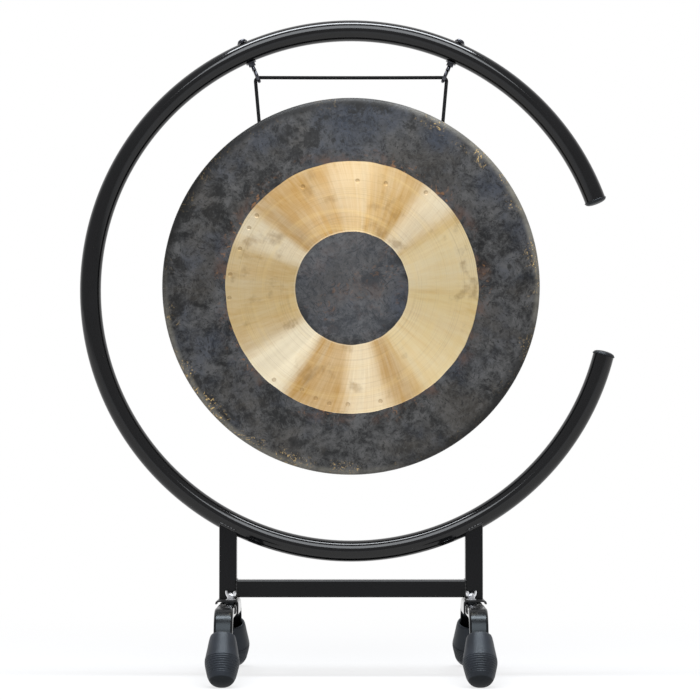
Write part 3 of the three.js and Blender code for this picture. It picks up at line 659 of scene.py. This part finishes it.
def cord_material():
    """Braided cord: strands cross in a fine diamond weave with painted shade between the strands, and pale
    glints.
    """
    material, g, shader = new_material("cord_braid", IOR=1.45, Specular_IOR_Level=0.3)
    turn = g.times(g.part(g.along(), "X"), 8 * TAU / 2)
    run = g.times(g.part(g.along(), "Y"), TAU / 0.0042)
    one = g.math("SINE", g.plus(turn, run))
    two = g.math("SINE", g.less(turn, run))
    weave = g.larger(one, two)
    fibre = g.noise(g.placed(), 2600.0, 2.0, 0.6)
    # Painted shade: the weave is darker between the strands and lighter on their crests
    colour = g.mixed(g.span(weave, 0.2, 1.0), srgb(6, 6, 7), srgb(22, 22, 24))
    colour = g.mixed(g.span(fibre, 0.62, 0.8), colour, srgb(52, 52, 56))
    g.feed(shader, Base_Color=colour, Roughness=g.span(fibre, 0.2, 0.8, 0.6, 0.85))
    g.feed(shader, Normal=g.bump(weave, 0.0005))
    return material


def make_finishes():
    paint_film_group()
    moulded_grain_group()
    plated_steel_group()
    black, dusty, worn = (0.0035, 0.0035, 0.0038, 1), (0.05, 0.05, 0.052, 1), (0.006, 0.006, 0.007, 1)
    return {
        "ring": paint("ring_gloss_black", black, dusty, 0.085, 650.0, 0.03, 0.38),
        "frame": paint("frame_satin_black", (0.0022, 0.0022, 0.0026, 1), dusty, 0.2, 900.0, 0.02, 0.22),
        "bracket": paint("bracket_black", black, dusty, 0.4, 800.0, 0.04, 0.5, 0.3),
        "leg": paint("leg_gloss_black", black, dusty, 0.24, 600.0, 0.04, 0.21, 0.18, (0.82, 0.93, 1, 1)),
        "weld": paint("weld_black", black, dusty, 0.16, 300.0, 0.04),
        "cap": moulded("cap_plastic", (0.003, 0.003, 0.0035, 1), worn, 0.42, 1500.0, 0.00002, 0.32),
        "spacer": moulded("spacer_nylon", worn, (0.01, 0.01, 0.011, 1), 0.45, 1500.0, 0.00002),
        "rubber": moulded("foot_rubber", srgb(27, 29, 33), srgb(35, 38, 44), 0.44, 1100.0, 0.00003, 0.3,
                          shaded_sole=True),
        "chrome": plated("wing_nut_chrome", (0.8, 0.81, 0.83, 1), (0.66, 0.67, 0.7, 1), 0.1),
        "bolt": plated("bolt_plated", (0.62, 0.63, 0.65, 1), (0.45, 0.46, 0.48, 1), 0.2),
        "hook": plated("hook_black_steel", (0.085, 0.087, 0.1, 1), (0.05, 0.051, 0.058, 1), 0.16),
        "gong": gong_material(),
        "cord": cord_material(),
    }


def dress(piece, material):
    piece.data.materials.clear()
    piece.data.materials.append(material)


def dress_node(name, material, bevel=0.0003):
    """A CAD node that stays: its finish, rounded edges and smooth shading."""
    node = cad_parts[name]
    for held in node.material_slots:
        held.material = material
    if not node.material_slots:
        node.data.materials.append(material)
    node.data.shade_smooth()
    modifier = node.modifiers.new("rounded_edges", "BEVEL")
    modifier.width, modifier.segments = bevel, 2
    modifier.limit_method, modifier.angle_limit = "ANGLE", math.radians(30)
    modifier.harden_normals = True


# The cord: a knot inside each side of the rim, up through the eyes and across

CORD_RADIUS, CORD_SAG = 0.0026, 0.0003
HOLE_OUT, KNOT_RADIUS = 0.1359, 0.0065
HOOK_ANGLE = math.radians(23.7)
EYE_BELOW, EYE_RADIUS, EYE_WIRE = 0.0384, 0.00835, 0.0052


def cord_route():
    """The right half, from the middle of the span to the knot, in (x, z) from the middle."""
    wire_out = RING_RADIUS - EYE_BELOW - EYE_RADIUS
    wire = Vector((wire_out * math.sin(HOOK_ANGLE), RING_CENTRE.z + wire_out * math.cos(HOOK_ANGLE)))
    wrap = EYE_WIRE / 2 + CORD_RADIUS + 0.0003
    rim = rim_radius(0)
    hole_angle = math.asin(HOLE_OUT / rim)
    hole = Vector((HOLE_OUT, GONG_CENTRE.z + rim * math.cos(hole_angle)))
    to_hole = hole - wire
    strand = math.sqrt(to_hole.length_squared - wrap ** 2)
    angle = math.atan2(to_hole.y, to_hole.x) - math.atan2(wrap, strand)
    start = wire + wrap * Vector((-math.sin(angle), math.cos(angle)))
    depth = (GONG_SHEET + KNOT_RADIUS + 0.0003) / math.cos(angle + math.pi / 2 + hole_angle)
    knot = hole + depth * Vector((math.cos(angle), math.sin(angle)))
    route = [Vector((wire.x * k / 30, wire.y + wrap - CORD_SAG * (1 - (k / 29) ** 2))) for k in range(30)]
    for k in range(17):
        turn = math.pi / 2 + angle * k / 16
        route.append(wire + wrap * Vector((math.cos(turn), math.sin(turn))))
    return route + [start.lerp(knot, k / 14) for k in range(1, 15)], knot


def knot_rows(centre, steps=72):
    """A small three-lobed knot of the same cord."""
    points = []
    for k in range(steps + 1):
        t = TAU * k / steps
        spread = 0.0026 + 0.0011 * math.cos(3 * t)
        points.append(centre + Vector((spread * math.cos(2 * t) * 1.2, spread * math.sin(2 * t) * 1.2,
                                       0.0026 * math.sin(3 * t))))
    rows = []
    for k, point in enumerate(points[:-1]):
        ahead = (points[(k + 1) % steps] - points[k - 1]).normalized()
        sideways = ahead.cross(Vector((0.3, 0.2, 1))).normalized()
        rows.append(round_row(point, 0.0022, sideways, sideways.cross(ahead), 10))
    return rows + rows[:1]


def make_cord(finishes):
    half, knot = cord_route()
    left = [Vector((MIDDLE - p.x, 0, p.y)) for p in reversed(half)]
    right = [Vector((MIDDLE + p.x, 0, p.y)) for p in half[1:]]
    verts, faces, uvs = swept(left + right, CORD_RADIUS, 16)
    for side in (-1, 1):
        rows = knot_rows(Vector((MIDDLE + side * knot.x, 0, knot.y)))
        verts, faces = joined((verts, faces), skin(rows, ends=False))
        uvs += tube_uvs([r * 0.0008 for r in range(len(rows))], 10)
    cord = new_piece("braided_cord", verts, faces, "hanging_gong", uvs)
    dress(cord, finishes["cord"])
    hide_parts("gong_cord")


# Ring, its caps, the frame and its welds

def ring_point(angle):
    return RING_CENTRE + RING_RADIUS * Vector((math.cos(angle), 0, math.sin(angle)))


def make_ring(finishes):
    steps, sides = 220, 40
    start, end = math.radians(UPPER_END), math.radians(360 + LOWER_END)
    rows = []
    for radius, order in ((TUBE_RADIUS, range(steps + 1)), (TUBE_RADIUS - TUBE_WALL, range(steps, -1, -1))):
        for k in order:
            angle = start + (end - start) * k / steps
            out = Vector((math.cos(angle), 0, math.sin(angle)))
            rows.append(round_row(ring_point(angle), radius, out, ACROSS, sides))
    ring = new_piece("bent_ring_tube", *skin(rows + rows[:1], ends=False), "stand")
    sharpen(ring, 50)
    dress(ring, finishes["ring"])
    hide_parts("ring_tube")


def dome(steps, radius, fullness, low, rise):
    """Profile points over a domed end, up to its top on the axis."""
    turns = [math.pi / 2 * k / steps for k in range(1, steps)]
    return [(radius * math.cos(t) ** fullness, low + rise * math.sin(t)) for t in turns] + [(0, low + rise)]


def frame_at(place, along):
    """A matrix whose +Z points along, for pieces made about +Z."""
    turn = along.to_track_quat("Z", "Y").to_matrix().to_4x4()
    return Matrix.Translation(place) @ turn


def make_end_caps(finishes):
    for name, degrees, sign in (("upper", UPPER_END, -1), ("lower", LOWER_END, 1)):
        angle = math.radians(degrees)
        along = sign * Vector((-math.sin(angle), 0, math.cos(angle)))
        profile = [(0, 0.0003), (0.0110, 0.0003), (0.0110, -0.014), (0.0124, -0.014), (0.0130, -0.001),
                   (0.0130, 0.0003), (0.0162, 0.0003), (0.01665, 0.0008), (0.01665, 0.0017), (0.0163, 0.0022),
                   (0.0158, 0.0024)] + dome(12, 0.0157, 0.9, 0.0025, 0.0045)
        cap = new_piece(name + "_cap", *turned(profile, 40, frame_at(ring_point(angle), along)), "stand")
        sharpen(cap, 45)
        dress(cap, finishes["cap"])
        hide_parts(name + "_end_cap")


def weld_bead(name, path, outward, size, finishes):
    """A rippled bead along a path. Outward leans it away from the corner."""
    rows = []
    for i, point in enumerate(path):
        ahead = (path[min(i + 1, len(path) - 1)] - path[max(i - 1, 0)]).normalized()
        out = (outward - outward.dot(ahead) * ahead).normalized()
        end = min(i, len(path) - 1 - i)
        swell = size * (0.55 + 0.45 * min(1, end / 3)) * (1 + 0.12 * math.sin(i * 1.9))
        rows.append(round_row(point, swell, ahead.cross(out), 0.8 * out, 10))
    bead = new_piece(name, *skin(rows), "stand")
    dress(bead, finishes["weld"])


def make_frame(finishes):
    for name in ("left_upright", "right_upright", "cross_bar"):
        dress_node(name, finishes["frame"], 0.0005)
    for name in ("left_bracket", "right_bracket"):
        dress_node(name, finishes["bracket"], 0.0005)
    half = UPRIGHT_HALF
    outer = RING_RADIUS + math.sqrt(TUBE_RADIUS ** 2 - half ** 2)
    low, high = (end.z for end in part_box("cross_bar"))
    for side, label in ((-1, "left"), (1, "right")):
        x = MIDDLE + side * UPRIGHT_OUT
        inner = x - side * half
        for way, face in ((-1, "front"), (1, "back")):
            path = []
            for k in range(21):
                px = x - half + 2 * half * k / 20
                reach = math.sqrt(outer ** 2 - (px - MIDDLE) ** 2)
                path.append(Vector((px, way * (half - 0.0004), RING_CENTRE.z - reach)))
            weld_bead(label + "_ring_weld_" + face, path, Vector((0, way, -0.6)), 0.0028, finishes)
        for way, face in ((-1, "front"), (1, "back")):
            path = [Vector((inner, way * (half - 0.0002), low + (high - low) * k / 18)) for k in range(19)]
            weld_bead(label + "_bar_weld_" + face, path, Vector((-side, way, 0)), 0.0017, finishes)
        for z, way, face in ((low, -1, "under"), (high, 1, "top")):
            path = [Vector((inner, -half + 2 * half * k / 18, z)) for k in range(19)]
            weld_bead(label + "_bar_weld_" + face, path, Vector((-side, 0, way)), 0.0019, finishes)


# Legs

PIVOT_INSET, PIVOT_OUT = 0.0052, 0.033
LEG_TOP, LEG_HALF, LEG_SHEET, LEG_CORNER = -0.0065, 0.0135, 0.002, 0.004
LEG_REACH, LEG_REAR = 0.127, 0.0089
LEG_WALL, LEG_WALL_AT_FOOT = 0.014, 0.0075


def leg_line():
    """Stations along the leg's top face: out, up, slope, wall depth and half width. Also the foot's mouth."""
    stations = [(out, LEG_TOP, 0.0) for out in (PIVOT_OUT - LEG_REAR, PIVOT_OUT + 0.01, 0.08, LEG_REACH)]

    def bend(radius, to_slope, steps):
        out, up, slope = stations[-1]
        first, last = math.radians(slope), math.radians(to_slope)
        sign = 1 if last > first else -1
        for k in range(1, steps + 1):
            angle = first + (last - first) * k / steps
            stations.append((out + sign * radius * (math.sin(angle) - math.sin(first)),
                             up - sign * radius * (math.cos(first) - math.cos(angle)), math.degrees(angle)))

    def straight(length):
        out, up, slope = stations[-1]
        angle = math.radians(slope)
        stations.append((out + length * math.cos(angle), up - length * math.sin(angle), slope))

    bend(0.040, 66.5, 22)
    bend(0.045, 59.0, 5)
    straight(0.0075)
    mouth = len(stations) - 1
    straight(0.0148)
    widths = {}
    for k in range(1, 10):
        before, turn = math.radians(60) * (k - 1) / 9, math.radians(60) * k / 9
        straight(LEG_HALF * (math.sin(turn) - math.sin(before)))
        widths[len(stations) - 1] = LEG_HALF * math.cos(turn)
    run, lengths = 0.0, []
    for i, (out, up, _) in enumerate(stations):
        run += math.hypot(out - stations[i - 1][0], up - stations[i - 1][1]) if i else 0
        lengths.append(run)
    rows = []
    for i, (out, up, slope) in enumerate(stations):
        share = min(1, max(0, (lengths[i] - lengths[3]) / (lengths[mouth] - lengths[3])))
        depth = LEG_WALL - (LEG_WALL - LEG_WALL_AT_FOOT) * share
        rows.append((out, up, math.radians(slope), depth, widths.get(i, LEG_HALF)))
    return rows, mouth


def channel(half, depth):
    """The leg's section: a rounded channel, open below, as (across, out) points."""
    corner, inner, low = half - LEG_CORNER, LEG_CORNER - LEG_SHEET, -depth + 0.0004
    left, right = LEG_SHEET - half, half - LEG_SHEET

    def arc(x, radius, first, step, count):
        turns = [math.radians(first + step * k) for k in range(count)]
        return [(x + radius * math.cos(t), -LEG_CORNER + radius * math.sin(t)) for t in turns]

    outline = [(-half, low)] + arc(-corner, LEG_CORNER, 180, -15, 7) + arc(corner, LEG_CORNER, 90, -15, 7)
    outline += [(half, low), (half - 0.0005, -depth), (right + 0.0005, -depth), (right, low)]
    outline += arc(corner, inner, 0, 30, 4) + arc(-corner, inner, 90, 30, 4)
    return (outline + [(left, low), (left - 0.0005, -depth), (0.0005 - half, -depth)])[::-1]


def corner_frame(corner):
    """From a right front corner's pivot, forward -Y and outward +X, to the row frame."""
    side = -1 if "left" in corner else 1
    end = -1 if "front" in corner else 1
    place = Matrix.Translation((MIDDLE + side * (UPRIGHT_OUT - PIVOT_INSET), end * PIVOT_OUT, BASE))
    return place @ Matrix.Diagonal((side, -end, 1, 1)), side * -end < 0


def put(part, place, flip):
    """A part moved to its place, with its faces turned round where the place mirrors it."""
    verts, faces = moved(place, part)
    return verts, [face[::-1] for face in faces] if flip else faces


def make_leg(corner, finishes):
    outlines = []
    for out, up, slope, depth, half in leg_line()[0]:
        outlines.append([Vector((PIVOT_INSET + x, PIVOT_OUT - out - n * math.sin(slope),
                                 up + n * math.cos(slope))) for x, n in channel(half, depth)])
    place, flip = corner_frame(corner)
    leg = new_piece(corner + "_pressed_leg", *put(skin(outlines), place, flip), corner + "_leg_body")
    turns = [math.radians(degrees) for degrees in range(180, 89, -6)]
    arc = [(LEG_REAR * math.cos(t), LEG_REAR * math.sin(t)) for t in turns]
    rear = prism([(0, 0.02), (-0.02, 0.02), (-0.02, 0)] + arc, -0.03, 0.01)
    cut_away(leg, "rear_round", put(rear, place, flip))
    hole = prism(round_outline(0.0034, 32), -0.03, 0.01)
    cut_away(leg, "bolt_hole", put(hole, place, flip))
    sharpen(leg, 32)
    dress(leg, finishes["leg"])
    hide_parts(corner + "_leg")


# Rubber feet

def foot_profile():
    """From the bore's bottom, out over the mouth, down past the ribs to the tip, as (radius, along)."""
    points = [(0, 0.030), (0.0139, 0.030), (0.0146, 0.0292), (0.0146, 0.0006), (0.0150, 0.0), (0.0160, 0.0),
              (0.0169, 0.0003), (0.0175, 0.0009)]
    swell = [(1.4, 17.8), (3.8, 18.6), (10, 19.8), (20, 21.4), (31, 23.3), (37.5, 24.4)]
    for (a0, r0), (a1, r1) in zip(swell, swell[1:]):
        for k in range(5):
            t = k / 5
            points.append(((r0 + (r1 - r0) * t) / 1000, (a0 + (a1 - a0) * t) / 1000))
    points.append((0.02445, 0.0377))

    def reach(along):
        share = max(0.0, (along - 42.2) / (60.9 - 42.2))
        return 24.64 - 3.8 * share ** 1.25

    for rib in range(7):
        crest = 40.5 + 3.4 * rib
        for off, drop in ((-1.7, 0.8), (-1.35, 0.6), (-1.0, 0.2), (-0.6, 0.02), (0.4, 0.0), (0.9, 0.15),
                          (1.35, 0.55)):
            points.append(((reach(crest + off) - drop) / 1000, (crest + off) / 1000))
    for radius, down in ((20.3, 63.2), (19.6, 64.9), (18.8, 66.7), (18.1, 68.0), (17.8, 68.6), (17.4, 69.2),
                         (16.9, 69.9), (16.3, 70.7), (15.5, 71.7), (14.6, 72.6), (13.6, 73.4), (12.4, 74.1),
                         (10.5, 75.0), (8.0, 75.8), (5.0, 76.4), (2.5, 76.7)):
        points.append((radius / 1000, down / 1000))
    points.append((0, 0.0768))
    return points


def make_foot(corner, finishes):
    rows, mouth = leg_line()
    out, up = rows[mouth][:2]
    seat = Vector((PIVOT_INSET, PIVOT_OUT - out + FOOT_BELOW * math.sin(FOOT_SLOPE),
                   up - FOOT_BELOW * math.cos(FOOT_SLOPE)))
    place, flip = corner_frame(corner)
    along, across = Vector((0, -math.cos(FOOT_SLOPE), -math.sin(FOOT_SLOPE))), Vector((1, 0, 0))
    axes = Matrix((across, along.cross(across), along)).transposed()
    about = place @ Matrix.Translation(seat) @ axes.to_4x4()
    foot = new_piece(corner + "_ribbed_foot", *put(turned(foot_profile(), 64), about, flip),
                     corner + "_leg_body")
    half, depth, corner_radius = 0.015, 0.0135, 0.0065
    notch = [(-half, -0.002), (half, -0.002)]
    for k in range(18):
        turn = math.pi * (k - (k > 8)) / 16
        centre = half - corner_radius if k < 9 else corner_radius - half
        notch.append((centre + corner_radius * math.cos(turn), depth - corner_radius * (1 - math.sin(turn))))
    notch = skin([[Vector((x, -reach, a)) for x, a in notch] for reach in (0.0, 0.03)])
    cut_away(foot, "notch", put(notch, about, not flip))
    square = [(-0.4, -0.4), (0.4, -0.4), (0.4, 0.4), (-0.4, 0.4)]
    floor = Matrix.Translation((place.translation.x, place.translation.y, 0))
    cut_away(foot, "floor_patch", moved(floor, prism(square, -0.08, 0)))
    sharpen(foot, 30)
    dress(foot, finishes["rubber"])
    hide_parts(corner + "_foot")


# Pivot hardware

def make_pivot(corner, finishes):
    for part, finish in (("_pivot_bolt", "bolt"), ("_pivot_washer", "bolt"), ("_pivot_spacer", "spacer")):
        dress_node(corner + part, finishes[finish], 0.0002)
    hub = turned([(0.00318, 0), (0.0048, 0), (0.00525, 0.0004), (0.0051, 0.0022), (0.0044, 0.0060),
                  (0.0041, 0.0067), (0.0037, 0.0070), (0.00318, 0.0070), (0.00318, 0)], 32)
    ear = [Vector(p) for p in (
        (0.0037, 0.0008), (0.0060, 0.0016), (0.0085, 0.0030), (0.0103, 0.0048), (0.0115, 0.0070),
        (0.0120, 0.0090), (0.0117, 0.0106), (0.0108, 0.0114), (0.0094, 0.0115), (0.0080, 0.0106),
        (0.0065, 0.0086), (0.0052, 0.0070), (0.0037, 0.0058))]
    centre = Vector((0.0078, 0.0064))
    rows = []
    for y, inset in ((-0.0012, 0.0005), (-0.0009, 0.0), (0.0009, 0.0), (0.0012, 0.0005)):
        inner = [p + (centre - p).normalized() * inset for p in ear]
        rows.append([Vector((p.x, y, p.y)) for p in inner])
    wings = [put(skin(rows), Matrix.Rotation(turn, 4, "Z"), True) for turn in (0, math.pi)]
    place, flip = corner_frame(corner)
    seat = place @ Matrix.Translation((0, 0, 0.0015)) @ Matrix.Rotation(math.radians(50), 4, "Z")
    nut = new_piece(corner + "_wings", *put(joined(hub, *wings), seat, flip), corner + "_nut_body")
    sharpen(nut, 40)
    dress(nut, finishes["chrome"])
    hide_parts(corner + "_wing_nut")


# Eye bolts

def make_hook(label, sign, finishes):
    angle = math.pi / 2 - sign * HOOK_ANGLE
    hole = frame_at(ring_point(angle), Vector((math.cos(angle), 0, math.sin(angle))))
    rows = []
    for k in range(49):
        t = TAU * k / 48
        out = Vector((0, math.sin(t), math.cos(t)))
        middle = Vector((0, 0, -EYE_BELOW)) + EYE_RADIUS * out
        rows.append(round_row(middle, EYE_WIRE / 2, out, Vector((1, 0, 0)), 16))
    neck = EYE_RADIUS - EYE_BELOW
    shank = [(0, neck - 0.001), (0.0033, neck + 0.0006), (0.0031, neck + 0.0024), (0.0029, neck + 0.0042),
             (0.0029, -0.0236), (0.0026, -0.0233), (0.0026, 0.0192), (0, 0.0192)]
    quarter = Matrix.Rotation(math.pi / 2, 4, "Z")
    eye = moved(hole @ quarter, joined(skin(rows, ends=False), turned(shank, 20)))
    bolt = new_piece(label + "_eye", *eye, "stand")
    sharpen(bolt, 60)
    dress(bolt, finishes["hook"])
    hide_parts(label + "_eye_bolt")
    for part in ("_inner_nut", "_inner_washer", "_outer_washer"):
        dress_node(label + part, finishes["hook"])
    hexagon = round_outline(0.0126 / math.sqrt(3), 6)
    steps = ((0.97, 0.0), (1.0, 0.0003), (1.0, 0.0009), (0.96, 0.0012))
    skirt = skin([[Vector((x * share, y * share, up)) for x, y in hexagon] for share, up in steps])
    cup = [(0, 0.0004), (0.0060, 0.0004), (0.0062, 0.0010)] + dome(10, 0.0061, 0.8, 0.0011, 0.0027)
    seat = hole @ Matrix.Translation((0, 0, TUBE_RADIUS + 0.0018))
    nut = new_piece(label + "_cap_nut", *moved(seat, joined(skirt, turned(cup, 32))), "stand")
    sharpen(nut, 35)
    dress(nut, finishes["hook"])
    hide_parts(label + "_dome_nut")


# Gong

def gong_outline():
    """The shell's section from the face's centre, round the rim and back inside, as (radius, height)."""
    def face(radius):
        return GONG_FRONT + GONG_CROWN * (1 - (radius / GONG_RADIUS) ** 2)

    def bend(radius, degrees):
        out, up, turns = GONG_RADIUS - GONG_BEND, GONG_FRONT - GONG_BEND, [math.radians(d) for d in degrees]
        return [(out + radius * math.cos(t), up + radius * math.sin(t)) for t in turns]

    outer = [(0.2685 * k / 33, face(0.2685 * k / 33)) for k in range(34)] + bend(GONG_BEND, range(82, -1, -7))
    outer += [(rim_radius(height), height) for height in (0.008, 0.0, -0.009, -0.018, -0.0222)]
    back = rim_radius(GONG_FRONT - GONG_DEPTH)
    rim = [(back - 0.0004, -0.0229), (back - 0.0012, -0.023), (back - 0.0020, -0.0229),
           (back - 0.0024, -0.0222)]
    inner = [(rim_radius(height) - GONG_SHEET, height) for height in (-0.018, -0.009, 0.0, 0.008)]
    inner += bend(GONG_BEND - GONG_SHEET, range(5, 83, 11))
    inner += [(0.2665 * k / 16, face(0.2665 * k / 16) - GONG_SHEET) for k in range(16, -1, -1)]
    return outer + rim + inner


def make_gong(finishes):
    verts, faces = turned([(radius, -height) for radius, height in gong_outline()], 256)
    verts = [Vector((v.x, v.z, -v.y)) for v in verts]
    for v in verts:
        radius, angle = math.hypot(v.x, v.z), math.atan2(v.z, v.x)
        dents = (math.sin(5 * angle + 19 * radius) * math.sin(41 * radius + 1.3)
                 + 0.6 * math.sin(9 * angle - 33 * radius + 0.7))
        fade = min(1, radius / 0.05) * min(1, max(0, (GONG_RADIUS - radius) / 0.03))
        v.y += 0.00018 * dents * fade
    gong = new_piece("hammered_gong", verts, faces, "hanging_gong", place=GONG_CENTRE)
    sharpen(gong, 40)
    dress(gong, finishes["gong"])
    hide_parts("gong")


make_camera()
make_studio()
FINISHES = make_finishes()
make_cord(FINISHES)
make_ring(FINISHES)
make_end_caps(FINISHES)
make_frame(FINISHES)
for each in CORNERS:
    make_leg(each, FINISHES)
    make_foot(each, FINISHES)
    make_pivot(each, FINISHES)
make_hook("left", -1, FINISHES)
make_hook("right", 1, FINISHES)
make_gong(FINISHES)
